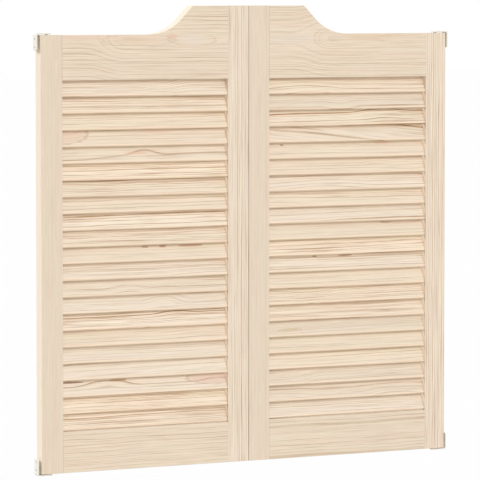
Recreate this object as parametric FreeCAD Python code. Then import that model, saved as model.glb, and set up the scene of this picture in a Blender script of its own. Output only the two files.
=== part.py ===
"""A pair of louvred cafe swinging doors, hung on spring pivots between two jambs.

Millimetres. +X runs along the doorway to the right, +Y goes through it to the back, +Z is up.
The origin is midway between the leaves, at mid thickness, level with the underside of the lower brackets.
The left leaf is built in its own frame: x from its hinge edge, y from mid thickness, z from its foot.
The right leaf and its brackets are mirror images in X.
"""
import FreeCAD, Part
import math
import os

# The leaf
LEAF_WIDTH = 532.5
LEAF_THICKNESS = 28.5
SHOULDER_HEIGHT = 1001.0
PEAK_RISE = 66.0
PEAK_FLAT = 146.5
MEETING_GAP = 1.0

# The sweep of the top rail, from the shoulder up to the peak
SWEEP_RADIUS = 118.0
SWEEP_SLOPE = math.radians(46.0)
PEAK_CORNER_RADIUS = 3.0

# The boards of the frame
STILE_WIDTH = 54.0
TOP_RAIL_HEIGHT = 103.5
BOTTOM_RAIL_HEIGHT = 94.5
ARRIS_CHAMFER = 0.8
INNER_EASE = 0.8

# Stub mortise-and-tenon joints between rails and stiles
TENON_THICKNESS = 10.0
TENON_SHOULDER = 16.0
TENON_PIVOT_WALL = 2.6
MORTISE_DEPTH_CLEARANCE = 0.5

# The louvres
SLAT_COUNT = 21
SLAT_WIDTH = 45.0
SLAT_THICKNESS = 7.0
SLAT_EDGE_RADIUS = 6.5
SLAT_TILT = math.radians(22.0)
SLAT_HOUSING = 7.5
SLAT_CLEARANCE = 0.15
SLAT_END_CLEARANCE = 0.5
LOWEST_SLAT_GAP = 1.0

# The pivots in both ends of the hinge stile
PIVOT_INSET = 21.0
PIN_RADIUS = 3.5
PIN_CLEARANCE = 0.05
PIN_CHAMFER = 0.8
SLEEVE_WALL = 1.7
SLEEVE_BORE_CLEARANCE = 0.1
JOURNAL_LENGTH = 9.0
TOP_PIN_LENGTH = 22.0
PIN_TOP_MARGIN = 8.0
SLEEVE_END_GAP = 6.0

# The torsion spring, coiled of flat wire round the bottom pin
SPRING_TURNS = 3
SPRING_PITCH = 9.0
SPRING_WIRE_WIDTH = 1.4
SPRING_WIRE_HEIGHT = 6.5
SPRING_PIN_GAP = 0.6
SPRING_WALL_GAP = 0.6
SPRING_FLOOR_GAP = 1.2
SPRING_SLOT_CLEARANCE = 0.2
SPRING_HOOK_DEPTH = 1.6
SPRING_TANG_DEPTH = 1.4

# The brackets on the jambs
BRACKET_STOCK = 2.5
BRACKET_BEND_RADIUS = 2.0
BRACKET_WIDTH = 20.0
BRACKET_CORNER_RADIUS = 5.0
BRACKET_SWING_CLEARANCE = 1.12
BRACKET_TOP_PLAY = 1.5
SCREW_HOLE_RADIUS = 2.25
SCREW_SPACING = 18.0
SCREW_END_MARGIN = 7.5
SCREW_BEND_MARGIN = 9.0
WASHER_THICKNESS = 1.5
WASHER_RADIUS = 10.0
WASHER_HOLE_CLEARANCE = 0.3

# Worked out from the sizes above
HALF_THICKNESS = LEAF_THICKNESS / 2
PEAK_HEIGHT = SHOULDER_HEIGHT + PEAK_RISE
TOP_RAIL_UNDERSIDE = SHOULDER_HEIGHT - TOP_RAIL_HEIGHT
PANEL_START = STILE_WIDTH
PANEL_END = LEAF_WIDTH - STILE_WIDTH
SLAT_PITCH = (TOP_RAIL_UNDERSIDE - BOTTOM_RAIL_HEIGHT - LOWEST_SLAT_GAP) / SLAT_COUNT
LEAF_LIFT = BRACKET_STOCK + WASHER_THICKNESS
HINGE_EDGE = -(LEAF_WIDTH + MEETING_GAP / 2)
JAMB_GAP = math.hypot(PIVOT_INSET, HALF_THICKNESS) - PIVOT_INSET + BRACKET_SWING_CLEARANCE + BRACKET_STOCK
SPRING_RADIUS = PIN_RADIUS + SPRING_PIN_GAP + SPRING_WIRE_WIDTH / 2
SPRING_LOW = JOURNAL_LENGTH + SPRING_FLOOR_GAP + SPRING_WIRE_HEIGHT / 2
SPRING_HIGH = SPRING_LOW + SPRING_TURNS * SPRING_PITCH
CAVITY_RADIUS = SPRING_RADIUS + SPRING_WIRE_WIDTH / 2 + SPRING_WALL_GAP
BOTTOM_PIN_END = SPRING_HIGH + SPRING_WIRE_HEIGHT / 2 + PIN_TOP_MARGIN
BOTTOM_SLEEVE_LENGTH = BOTTOM_PIN_END + SLEEVE_END_GAP
BOTTOM_SLEEVE_RADIUS = CAVITY_RADIUS + SLEEVE_WALL
TOP_SLEEVE_LENGTH = TOP_PIN_LENGTH + SLEEVE_END_GAP
TOP_SLEEVE_RADIUS = PIN_RADIUS + PIN_CLEARANCE + SLEEVE_WALL
BOTTOM_BORE_RADIUS = BOTTOM_SLEEVE_RADIUS + SLEEVE_BORE_CLEARANCE
MORTISE_DEPTH = STILE_WIDTH - PIVOT_INSET - BOTTOM_BORE_RADIUS - TENON_PIVOT_WALL
TENON_LENGTH = MORTISE_DEPTH - MORTISE_DEPTH_CLEARANCE
BEND_OUTER_RADIUS = BRACKET_BEND_RADIUS + BRACKET_STOCK
LOWER_SCREW_HEIGHT = BEND_OUTER_RADIUS + SCREW_BEND_MARGIN
UPPER_SCREW_HEIGHT = LOWER_SCREW_HEIGHT + SCREW_SPACING
BRACKET_FLANGE_HEIGHT = UPPER_SCREW_HEIGHT + SCREW_END_MARGIN

# Two lengths closer than this are the same place on a solid
PLACE_TOLERANCE = 1e-4

X_AXIS = FreeCAD.Vector(1, 0, 0)
Y_AXIS = FreeCAD.Vector(0, 1, 0)
Z_AXIS = FreeCAD.Vector(0, 0, 1)
ORIGIN = FreeCAD.Vector(0, 0, 0)


def block(x_range, y_range, z_range):
    """Rectangular block between the given limits."""
    size = [high - low for low, high in (x_range, y_range, z_range)]
    corner = FreeCAD.Vector(x_range[0], y_range[0], z_range[0])
    return Part.makeBox(size[0], size[1], size[2], corner)


def upright_cylinder(radius, bottom, top, x=0.0):
    """Cylinder about a vertical axis at x, y = 0, from z bottom to z top."""
    return Part.makeCylinder(radius, top - bottom, FreeCAD.Vector(x, 0, bottom), Z_AXIS)


def elevation_point(x, z):
    """Point in the plane y = 0."""
    return FreeCAD.Vector(x, 0, z)


def elevation_prism(edges, thickness):
    """Prism of a closed outline drawn in the plane y = 0, centred on that plane."""
    face = Part.Face(Part.Wire(edges))
    prism = face.extrude(Y_AXIS * thickness)
    prism.translate(Y_AXIS * (-thickness / 2))
    return prism


def line(start, end):
    """Straight edge."""
    return Part.LineSegment(start, end).toShape()


def arc(start, middle, end):
    """Circular edge through three points."""
    return Part.Arc(start, middle, end).toShape()


def at_bounds(edge, name, value):
    """True if the whole edge lies on the plane where the named bound equals value."""
    low = getattr(edge.BoundBox, name + "Min")
    high = getattr(edge.BoundBox, name + "Max")
    return abs(low - value) < PLACE_TOLERANCE and abs(high - value) < PLACE_TOLERANCE


def upright_edges_at(solid, x_place):
    """The vertical edges of a board that lie at one side, x = x_place."""
    side_edges = [edge for edge in solid.Edges if at_bounds(edge, "X", x_place)]
    return [edge for edge in side_edges if edge.BoundBox.ZLength > edge.BoundBox.YLength]


def make_stile(height, inner_x, outer_x):
    """An upright board, its arrises broken on the outer side and rounded on the louvres' side."""
    x_range = (min(inner_x, outer_x), max(inner_x, outer_x))
    board = block(x_range, (-HALF_THICKNESS, HALF_THICKNESS), (0, height))
    board = board.makeChamfer(ARRIS_CHAMFER, upright_edges_at(board, outer_x))
    return board.makeFillet(INNER_EASE, upright_edges_at(board, inner_x))


def slat_section_centre(index):
    """Height of the centre of a slat's section, counted from the lowest slat."""
    crown_centre = SLAT_WIDTH / 2 - SLAT_EDGE_RADIUS
    half_height = crown_centre * math.cos(SLAT_TILT) + SLAT_EDGE_RADIUS
    return BOTTOM_RAIL_HEIGHT + LOWEST_SLAT_GAP + half_height + index * SLAT_PITCH


def tilt_to_louvre(shape, index):
    """Lean an upright slat back about its own centre and lift it to its place in the panel."""
    shape.rotate(ORIGIN, X_AXIS, -math.degrees(SLAT_TILT))
    shape.translate(Z_AXIS * slat_section_centre(index))
    return shape


def make_slat(index):
    """One louvre: a thin board with both long edges rounded, its ends held in the stiles."""
    reach = SLAT_HOUSING - SLAT_END_CLEARANCE
    half_thickness = SLAT_THICKNESS / 2
    half_width = SLAT_WIDTH / 2
    crown_rise = SLAT_EDGE_RADIUS - math.sqrt(SLAT_EDGE_RADIUS ** 2 - half_thickness ** 2)
    straight = half_width - crown_rise
    front_low = FreeCAD.Vector(0, -half_thickness, -straight)
    front_high = FreeCAD.Vector(0, -half_thickness, straight)
    back_high = FreeCAD.Vector(0, half_thickness, straight)
    back_low = FreeCAD.Vector(0, half_thickness, -straight)
    edges = [
        line(front_low, front_high),
        arc(front_high, FreeCAD.Vector(0, 0, half_width), back_high),
        line(back_high, back_low),
        arc(back_low, FreeCAD.Vector(0, 0, -half_width), front_low),
    ]
    face = Part.Face(Part.Wire(edges))
    slat = face.extrude(X_AXIS * (PANEL_END - PANEL_START + 2 * reach))
    slat.translate(X_AXIS * (PANEL_START - reach))
    return tilt_to_louvre(slat, index)


def slat_slot(index, x_range):
    """Square-cornered slot that a slat's section fits in with the named clearance."""
    half_thickness = SLAT_THICKNESS / 2 + SLAT_CLEARANCE
    half_width = SLAT_WIDTH / 2 + SLAT_CLEARANCE
    slot = block(x_range, (-half_thickness, half_thickness), (-half_width, half_width))
    return tilt_to_louvre(slot, index)


def slat_mortises(inner_x, direction):
    """The row of sloping stopped mortises in a stile's inner face; direction points into the wood."""
    far = inner_x + direction * SLAT_HOUSING
    x_range = (min(inner_x, far), max(inner_x, far))
    return [slat_slot(index, x_range) for index in range(SLAT_COUNT)]


def top_tenon_heights(end_height):
    """Lower and upper limit of a top rail tenon, at an end where the rail reaches end_height."""
    return (TOP_RAIL_UNDERSIDE + TENON_SHOULDER, end_height - TENON_SHOULDER)


def bottom_tenon_heights():
    """Lower and upper limit of both bottom rail tenons."""
    return (TENON_SHOULDER, BOTTOM_RAIL_HEIGHT - TENON_SHOULDER)


def tongue(inner_x, direction, heights, length):
    """Stub tenon standing out of a rail's shoulder at inner_x, or the mortise that takes it."""
    far = inner_x + direction * length
    x_range = (min(inner_x, far), max(inner_x, far))
    return block(x_range, (-TENON_THICKNESS / 2, TENON_THICKNESS / 2), heights)


def rail_mortises(inner_x, direction, top_end_height):
    """The two mortises that a stile has for the rails."""
    all_heights = (bottom_tenon_heights(), top_tenon_heights(top_end_height))
    return [tongue(inner_x, direction, heights, MORTISE_DEPTH) for heights in all_heights]


def pivot_bores():
    """The blind bores in both ends of the hinge stile that take the sleeves."""
    top_radius = TOP_SLEEVE_RADIUS + SLEEVE_BORE_CLEARANCE
    bottom_end = BOTTOM_SLEEVE_LENGTH + SLEEVE_BORE_CLEARANCE
    top_end = SHOULDER_HEIGHT - TOP_SLEEVE_LENGTH - SLEEVE_BORE_CLEARANCE
    return [
        upright_cylinder(BOTTOM_BORE_RADIUS, 0, bottom_end, PIVOT_INSET),
        upright_cylinder(top_radius, top_end, SHOULDER_HEIGHT, PIVOT_INSET),
    ]


def make_hinge_stile():
    """The jamb-side upright, which carries the pivots."""
    stile = make_stile(SHOULDER_HEIGHT, PANEL_START, 0.0)
    cuts = slat_mortises(PANEL_START, -1) + rail_mortises(PANEL_START, -1, SHOULDER_HEIGHT) + pivot_bores()
    return stile.cut(cuts)


def make_meeting_stile():
    """The taller upright at the middle of the doorway."""
    stile = make_stile(PEAK_HEIGHT, PANEL_END, LEAF_WIDTH)
    cuts = slat_mortises(PANEL_END, 1) + rail_mortises(PANEL_END, 1, PEAK_HEIGHT)
    return stile.cut(cuts)


def top_rail_outline():
    """Outline of the top rail between the stiles: shoulder, concave sweep, straight slope, flat peak."""
    corner_x = LEAF_WIDTH - PEAK_FLAT
    corner_tangent = PEAK_CORNER_RADIUS * math.tan(SWEEP_SLOPE / 2)
    sweep_rise = SWEEP_RADIUS * (1 - math.cos(SWEEP_SLOPE))
    slope_run = (PEAK_RISE - sweep_rise) / math.tan(SWEEP_SLOPE)
    sweep_end = elevation_point(corner_x - slope_run, SHOULDER_HEIGHT + sweep_rise)
    sweep_start = elevation_point(sweep_end.x - SWEEP_RADIUS * math.sin(SWEEP_SLOPE), SHOULDER_HEIGHT)
    sweep_middle = elevation_point(
        sweep_start.x + SWEEP_RADIUS * math.sin(SWEEP_SLOPE / 2),
        SHOULDER_HEIGHT + SWEEP_RADIUS * (1 - math.cos(SWEEP_SLOPE / 2)),
    )
    corner_low = elevation_point(
        corner_x - corner_tangent * math.cos(SWEEP_SLOPE),
        PEAK_HEIGHT - corner_tangent * math.sin(SWEEP_SLOPE),
    )
    corner_high = elevation_point(corner_x + corner_tangent, PEAK_HEIGHT)
    corner_middle = elevation_point(
        corner_high.x - PEAK_CORNER_RADIUS * math.sin(SWEEP_SLOPE / 2),
        PEAK_HEIGHT - PEAK_CORNER_RADIUS * (1 - math.cos(SWEEP_SLOPE / 2)),
    )
    low_start = elevation_point(PANEL_START, TOP_RAIL_UNDERSIDE)
    low_end = elevation_point(PANEL_END, TOP_RAIL_UNDERSIDE)
    peak_end = elevation_point(PANEL_END, PEAK_HEIGHT)
    shoulder_start = elevation_point(PANEL_START, SHOULDER_HEIGHT)
    return [
        line(low_start, low_end),
        line(low_end, peak_end),
        line(peak_end, corner_high),
        arc(corner_high, corner_middle, corner_low),
        line(corner_low, sweep_end),
        arc(sweep_end, sweep_middle, sweep_start),
        line(sweep_start, shoulder_start),
        line(shoulder_start, low_start),
    ]


def rail_arrises(solid):
    """The long arrises of a rail: every edge on its two faces that isn't an upright end."""
    found = []
    for edge in solid.Edges:
        on_face = at_bounds(edge, "Y", HALF_THICKNESS) or at_bounds(edge, "Y", -HALF_THICKNESS)
        if on_face and edge.BoundBox.XLength > PLACE_TOLERANCE:
            found.append(edge)
    return found


def make_top_rail():
    """The shaped top rail, grooved underneath for the highest slat's upper edge."""
    rail = elevation_prism(top_rail_outline(), LEAF_THICKNESS)
    rail = rail.makeChamfer(ARRIS_CHAMFER, rail_arrises(rail))
    rail = rail.cut(slat_slot(SLAT_COUNT - 1, (PANEL_START, PANEL_END)))
    hinge_tenon = tongue(PANEL_START, -1, top_tenon_heights(SHOULDER_HEIGHT), TENON_LENGTH)
    meeting_tenon = tongue(PANEL_END, 1, top_tenon_heights(PEAK_HEIGHT), TENON_LENGTH)
    return rail.fuse([hinge_tenon, meeting_tenon])


def make_bottom_rail():
    """The straight bottom rail with its two stub tenons."""
    y_range = (-HALF_THICKNESS, HALF_THICKNESS)
    rail = block((PANEL_START, PANEL_END), y_range, (0, BOTTOM_RAIL_HEIGHT))
    rail = rail.makeChamfer(ARRIS_CHAMFER, rail_arrises(rail))
    heights = bottom_tenon_heights()
    hinge_tenon = tongue(PANEL_START, -1, heights, TENON_LENGTH)
    meeting_tenon = tongue(PANEL_END, 1, heights, TENON_LENGTH)
    return rail.fuse([hinge_tenon, meeting_tenon])


def wire_bar(start, end, height, clearance):
    """Bar of the spring's wire pointing away from the pivot axis, or the slot that takes it."""
    half_width = SPRING_WIRE_WIDTH / 2 + clearance
    half_height = SPRING_WIRE_HEIGHT / 2 + clearance
    x_range = (PIVOT_INSET + start, PIVOT_INSET + end)
    return block(x_range, (-half_width, half_width), (height - half_height, height + half_height))


def make_bottom_sleeve():
    """Bottom pivot sleeve: a close journal for the pin, then a chamber slotted for the spring's tang."""
    sleeve = upright_cylinder(BOTTOM_SLEEVE_RADIUS, 0, BOTTOM_SLEEVE_LENGTH, PIVOT_INSET)
    journal = upright_cylinder(PIN_RADIUS + PIN_CLEARANCE, 0, JOURNAL_LENGTH, PIVOT_INSET)
    chamber = upright_cylinder(CAVITY_RADIUS, JOURNAL_LENGTH, BOTTOM_SLEEVE_LENGTH, PIVOT_INSET)
    tang_slot = wire_bar(0, BOTTOM_SLEEVE_RADIUS, SPRING_LOW, SPRING_SLOT_CLEARANCE)
    return sleeve.cut([journal, chamber, tang_slot])


def make_top_sleeve():
    """Top pivot sleeve: one close bore right through."""
    bottom = SHOULDER_HEIGHT - TOP_SLEEVE_LENGTH
    sleeve = upright_cylinder(TOP_SLEEVE_RADIUS, bottom, SHOULDER_HEIGHT, PIVOT_INSET)
    return sleeve.cut(upright_cylinder(PIN_RADIUS + PIN_CLEARANCE, bottom, SHOULDER_HEIGHT, PIVOT_INSET))


def make_spring():
    """Flat-wire torsion spring: its tang sits in the sleeve's wall and its upper hook in the pin's slot."""
    path = Part.Wire(Part.makeHelix(SPRING_PITCH, SPRING_HIGH - SPRING_LOW, SPRING_RADIUS).Edges)
    inner = SPRING_RADIUS - SPRING_WIRE_WIDTH / 2
    outer = SPRING_RADIUS + SPRING_WIRE_WIDTH / 2
    half_height = SPRING_WIRE_HEIGHT / 2
    corners = [
        elevation_point(inner, -half_height),
        elevation_point(outer, -half_height),
        elevation_point(outer, half_height),
        elevation_point(inner, half_height),
    ]
    section = Part.makePolygon(corners + corners[:1])
    coil = path.makePipeShell([section], True, True)
    coil.translate(elevation_point(PIVOT_INSET, SPRING_LOW))
    tang = wire_bar(inner, CAVITY_RADIUS + SPRING_TANG_DEPTH, SPRING_LOW, 0)
    hook = wire_bar(PIN_RADIUS - SPRING_HOOK_DEPTH, outer, SPRING_HIGH, 0)
    return coil.fuse([tang, hook])


def make_bottom_pin():
    """Bottom pivot pin, pressed up through its bracket and slotted near the top for the spring's hook."""
    pin = upright_cylinder(PIN_RADIUS, -LEAF_LIFT, BOTTOM_PIN_END, PIVOT_INSET)
    pin = pin.makeChamfer(PIN_CHAMFER, [edge for edge in pin.Edges if at_bounds(edge, "Z", BOTTOM_PIN_END)])
    return pin.cut(wire_bar(-PIN_RADIUS, PIN_RADIUS, SPRING_HIGH, SPRING_SLOT_CLEARANCE))


def make_top_pin():
    """Top pivot pin, pressed down through its bracket into the stile."""
    end = SHOULDER_HEIGHT - TOP_PIN_LENGTH
    bracket_top = SHOULDER_HEIGHT + BRACKET_TOP_PLAY + BRACKET_STOCK
    pin = upright_cylinder(PIN_RADIUS, end, bracket_top, PIVOT_INSET)
    return pin.makeChamfer(PIN_CHAMFER, [edge for edge in pin.Edges if at_bounds(edge, "Z", end)])


def make_thrust_washer():
    """Washer on the bottom bracket's arm that the leaf turns on."""
    hole_radius = PIN_RADIUS + WASHER_HOLE_CLEARANCE
    washer = upright_cylinder(WASHER_RADIUS, -WASHER_THICKNESS, 0, PIVOT_INSET)
    return washer.cut(upright_cylinder(hole_radius, -WASHER_THICKNESS, 0, PIVOT_INSET))


def bracket_profile(reach):
    """Folded L section of a bracket: flange up the jamb at x = 0, arm along z = 0."""
    diagonal = math.sqrt(0.5)
    outer_offset = BEND_OUTER_RADIUS * (1 - diagonal)
    inner_offset = BEND_OUTER_RADIUS - BRACKET_BEND_RADIUS * diagonal
    flange_outer = elevation_point(0, BRACKET_FLANGE_HEIGHT)
    flange_bend = elevation_point(0, BEND_OUTER_RADIUS)
    arm_bend = elevation_point(BEND_OUTER_RADIUS, 0)
    arm_low = elevation_point(reach, 0)
    arm_high = elevation_point(reach, BRACKET_STOCK)
    arm_bend_inner = elevation_point(BEND_OUTER_RADIUS, BRACKET_STOCK)
    flange_bend_inner = elevation_point(BRACKET_STOCK, BEND_OUTER_RADIUS)
    flange_inner = elevation_point(BRACKET_STOCK, BRACKET_FLANGE_HEIGHT)
    return [
        line(flange_outer, flange_bend),
        arc(flange_bend, elevation_point(outer_offset, outer_offset), arm_bend),
        line(arm_bend, arm_low),
        line(arm_low, arm_high),
        line(arm_high, arm_bend_inner),
        arc(arm_bend_inner, elevation_point(inner_offset, inner_offset), flange_bend_inner),
        line(flange_bend_inner, flange_inner),
        line(flange_inner, flange_outer),
    ]


def screw_hole(height):
    """Screw hole through the flange."""
    return Part.makeCylinder(SCREW_HOLE_RADIUS, BRACKET_STOCK, elevation_point(0, height), X_AXIS)


def make_bracket():
    """Bottom bracket in its own frame: jamb face at x = 0, underside of the arm at z = 0."""
    nose_radius = BRACKET_WIDTH / 2
    pin_x = JAMB_GAP + PIVOT_INSET
    folded = elevation_prism(bracket_profile(pin_x + nose_radius), BRACKET_WIDTH)
    strip = block((0, pin_x), (-nose_radius, nose_radius), (0, BRACKET_FLANGE_HEIGHT))
    nose = upright_cylinder(nose_radius, 0, BRACKET_STOCK, pin_x)
    solid = folded.common(strip.fuse(nose))
    end_edges = [edge for edge in solid.Edges if at_bounds(edge, "Z", BRACKET_FLANGE_HEIGHT)]
    corners = [edge for edge in end_edges if edge.BoundBox.XLength > PLACE_TOLERANCE]
    solid = solid.makeFillet(BRACKET_CORNER_RADIUS, corners)
    pin_hole = upright_cylinder(PIN_RADIUS, 0, BRACKET_STOCK, pin_x)
    return solid.cut([screw_hole(LOWER_SCREW_HEIGHT), screw_hole(UPPER_SCREW_HEIGHT), pin_hole])


def place_leaf_piece(shape):
    """Move a piece from the left leaf's frame to the frame of the pair."""
    moved = shape.copy()
    moved.translate(FreeCAD.Vector(HINGE_EDGE, 0, LEAF_LIFT))
    return moved


def place_bottom_bracket(bracket):
    """Left bottom bracket, its arm on z = 0."""
    moved = bracket.copy()
    moved.translate(X_AXIS * (HINGE_EDGE - JAMB_GAP))
    return moved


def place_top_bracket(bracket):
    """Left top bracket: its arm lies over the shoulder and its flange hangs down the jamb."""
    flipped = bracket.mirror(ORIGIN, Z_AXIS)
    arm_top = LEAF_LIFT + SHOULDER_HEIGHT + BRACKET_TOP_PLAY + BRACKET_STOCK
    flipped.translate(FreeCAD.Vector(HINGE_EDGE - JAMB_GAP, 0, arm_top))
    return flipped


def mirrored(shape):
    """Mirror image of a left-hand piece, for the right."""
    return shape.mirror(ORIGIN, X_AXIS)


def export(name, solids):
    """Write one node, made of one solid or of several separate ones."""
    shape = solids[0] if len(solids) == 1 else Part.makeCompound(solids)
    shape.exportStep("parts/" + name + ".step")


def left_leaf_pieces():
    """Every piece that swings with the left leaf, by name."""
    pieces = {
        "hinge_stile": [make_hinge_stile()],
        "meeting_stile": [make_meeting_stile()],
        "top_rail": [make_top_rail()],
        "bottom_rail": [make_bottom_rail()],
        "pivot_sleeves": [make_bottom_sleeve(), make_top_sleeve()],
    }
    for index in range(SLAT_COUNT):
        pieces["slat_{:02d}".format(index + 1)] = [make_slat(index)]
    return pieces


def left_jamb_pieces():
    """Every piece that stays fixed to the left jamb, by the name it shares with its right-hand twin."""
    bracket = make_bracket()
    return {
        "bottom_brackets": [place_bottom_bracket(bracket)],
        "top_brackets": [place_top_bracket(bracket)],
        "pivot_pins": [place_leaf_piece(make_bottom_pin()), place_leaf_piece(make_top_pin())],
        "thrust_washers": [place_leaf_piece(make_thrust_washer())],
        "torsion_springs": [place_leaf_piece(make_spring())],
    }


def main():
    """Build both leaves and their jamb hardware and write one STEP file per node."""
    os.makedirs("parts", exist_ok=True)
    for name, solids in left_leaf_pieces().items():
        placed = [place_leaf_piece(solid) for solid in solids]
        export("left_" + name, placed)
        export("right_" + name, [mirrored(solid) for solid in placed])
    for name, solids in left_jamb_pieces().items():
        export(name, solids + [mirrored(solid) for solid in solids])


main()
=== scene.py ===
"""Dress a pair of louvred cafe doors in bare pine and plain hardware, and set up the studio round them.

Metres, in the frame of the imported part: X along the doorway, Y through it to the back, Z up.
Sizes of wood figure are millimetres, and every pattern runs in millimetres in the board's own axes.
"""

import logging
import math
import random
from dataclasses import dataclass
from enum import Enum
from typing import Any

import bmesh
import bpy
from mathutils import Euler, Matrix, Vector


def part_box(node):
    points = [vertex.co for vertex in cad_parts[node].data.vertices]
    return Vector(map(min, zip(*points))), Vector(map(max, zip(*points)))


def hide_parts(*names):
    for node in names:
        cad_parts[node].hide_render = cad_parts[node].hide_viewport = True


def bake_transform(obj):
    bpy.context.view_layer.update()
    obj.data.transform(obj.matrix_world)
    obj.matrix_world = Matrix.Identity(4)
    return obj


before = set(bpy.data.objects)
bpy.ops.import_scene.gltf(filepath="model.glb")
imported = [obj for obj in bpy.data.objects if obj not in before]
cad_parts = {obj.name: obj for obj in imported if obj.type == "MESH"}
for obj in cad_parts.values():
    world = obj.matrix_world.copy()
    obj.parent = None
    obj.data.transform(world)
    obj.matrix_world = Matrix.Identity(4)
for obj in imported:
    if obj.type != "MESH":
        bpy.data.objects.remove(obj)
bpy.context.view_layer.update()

log = logging.getLogger("cafe_doors")

MM_PER_M = 1000.0
# How far one seed's stretch of a noise pattern lies from the next one's.
SEED_STEP = Vector((7.31, 3.17, 11.73))
# How alike the rounded and the true normal are where an edge begins, and where it is sharpest.
EDGE_BEGINS = 0.98
EDGE_SHARPEST = 0.8

Tone = tuple[str, str, str]


def linear(hex_colour: str) -> tuple[float, float, float, float]:
    """Turn an sRGB hex colour into the linear RGBA that shaders take.

    Args:
        hex_colour: Six hex digits with a leading hash.

    Returns:
        Linear red, green and blue, and an alpha of 1.
    """
    channels = [int(hex_colour[start:start + 2], 16) / 255 for start in (1, 3, 5)]
    levels = [value / 12.92 if value <= 0.04045 else ((value + 0.055) / 1.055) ** 2.4 for value in channels]
    return (levels[0], levels[1], levels[2], 1.0)


class ShaderGraph:
    """The node tree of one material or world, filled a node at a time."""

    def __init__(self, owner: bpy.types.Material | bpy.types.World) -> None:
        """Empty the owner's node tree and keep it.

        Args:
            owner: The material or world whose nodes are built.
        """
        owner.use_nodes = True
        self.owner = owner
        self.tree = owner.node_tree
        self.tree.nodes.clear()

    def add(self, kind: str, inputs: dict[str | int, Any] | None = None, **settings: Any) -> bpy.types.Node:
        """Add one node with its settings and its inputs.

        Args:
            kind: The node's type without the leading "ShaderNode".
            inputs: Input name or number to a value, a socket, or a node whose first output is linked.
            settings: Attributes of the node; stops fills a colour ramp with (position, colour) pairs.

        Returns:
            The new node.
        """
        node = self.tree.nodes.new("ShaderNode" + kind)
        stops = settings.pop("stops", None)
        for name, value in settings.items():
            setattr(node, name, value)
        if stops:
            elements = node.color_ramp.elements
            while len(elements) < len(stops):
                elements.new(1.0)
            for element, (position, colour) in zip(elements, stops):
                element.position = position
                element.color = colour
        for name, value in (inputs or {}).items():
            if isinstance(value, bpy.types.Node):
                value = value.outputs[0]
            if isinstance(value, bpy.types.NodeSocket):
                self.tree.links.new(value, node.inputs[name])
            else:
                node.inputs[name].default_value = value
        return node


def edge_wear_and_highlight(graph: ShaderGraph, rounded: bpy.types.Node, most: float) -> bpy.types.Node:
    """Find the sharp edges: the coat wears there, and the pine is painted pale there, partly for wear and
    partly as a painted highlight.

    Args:
        graph: The material being filled.
        rounded: The rounded normal, which leaves the true one at an edge.
        most: Strength at the sharpest edge, of wear on the coat and of wear with painted highlight on the
            pine.

    Returns:
        A node with the strength, which is 0 away from the edges.
    """
    true_normal = graph.add("NewGeometry").outputs["Normal"]
    alike = graph.add("VectorMath", {0: rounded, 1: true_normal}, operation="DOT_PRODUCT").outputs["Value"]
    edge = {"Value": alike, "From Min": EDGE_BEGINS, "From Max": EDGE_SHARPEST}
    return graph.add("MapRange", {**edge, "To Max": most})


class Sawing(Enum):
    """How a board was sawn from its log, which sets what its growth rings draw on the face."""

    RIFT = "rift"
    QUARTER = "quarter"


class Grain(Enum):
    """Which way a board's grain runs, as the turn about Y that stands it along the third axis."""

    UPRIGHT = 0.0
    LEVEL = math.pi / 2


@dataclass(frozen=True)
class Cut:
    """Where the pith lies from a board's middle, how it leans along the board, and its rings.

    Unevenness is how much good and bad years differ, and summer how wide the dark summer growth is,
    both 1 for a usual log.
    """

    across_mm: float
    depth_mm: float
    ring_mm: float
    lean_across: float = 0.0
    lean_depth: float = 0.0
    unevenness: float = 1.0
    summer: float = 1.0


@dataclass(frozen=True)
class Mark:
    """A knot, streak or flame: it bends the growth rings near it and may stain the wood.

    It is placed from the board's middle, along the grain, which is up on an upright board and to the
    left on a level one, and across it, which is to the right or up. Its push drives the rings away
    from the pith, and its shift carries them all across the board. Both fade over the outer share of
    its reach that spread gives, and its stain over the share that softness gives. Its rim is how
    strong the dark line round it is.
    """

    along_mm: float
    across_mm: float
    length_mm: float
    width_mm: float
    push_mm: float = 0.0
    colour: str = ""
    strength: float = 0.0
    shift_mm: float = 0.0
    spread: float = 1.0
    softness: float = 0.2
    rim: float = 0.0


@dataclass(frozen=True)
class Figure:
    """What a board's face shows: its cut, the strength of its summer lines, and its marks."""

    cut: Cut
    contrast: float
    marks: tuple[Mark, ...] = ()


@dataclass(frozen=True)
class Board:
    """One board of a leaf: where it is, which way it runs and what its wood is like."""

    node: str
    centre: Vector
    grain: Grain
    tilt: float
    seed: int
    tone: Tone
    figure: Figure

    def board_axes(self) -> Matrix:
        """Rotation from the part's axes to the board's: across, depth, and along the grain."""
        return Euler((self.tilt, self.grain.value, 0.0)).to_matrix()

    def log_axes(self) -> Matrix:
        """Rotation from the part's axes to the log's: across, depth, and along the pith."""
        cut = self.figure.cut
        return Euler((cut.lean_depth, cut.lean_across, 0.0)).to_matrix() @ self.board_axes()

    def pith_offset(self) -> Vector:
        """Place of the log's origin, in millimetres in the log's axes."""
        cut = self.figure.cut
        return -(self.log_axes() @ (self.centre * MM_PER_M)) - Vector((cut.across_mm, cut.depth_mm, 0.0))

    def mark_centre(self, mark: Mark) -> Vector:
        """Place of a mark in the log's axes.

        Args:
            mark: The mark.

        Returns:
            Its centre in millimetres.
        """
        place = self.board_axes().transposed() @ Vector((mark.across_mm, 0.0, mark.along_mm))
        return self.log_axes() @ (self.centre * MM_PER_M + place) + self.pith_offset()


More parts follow.
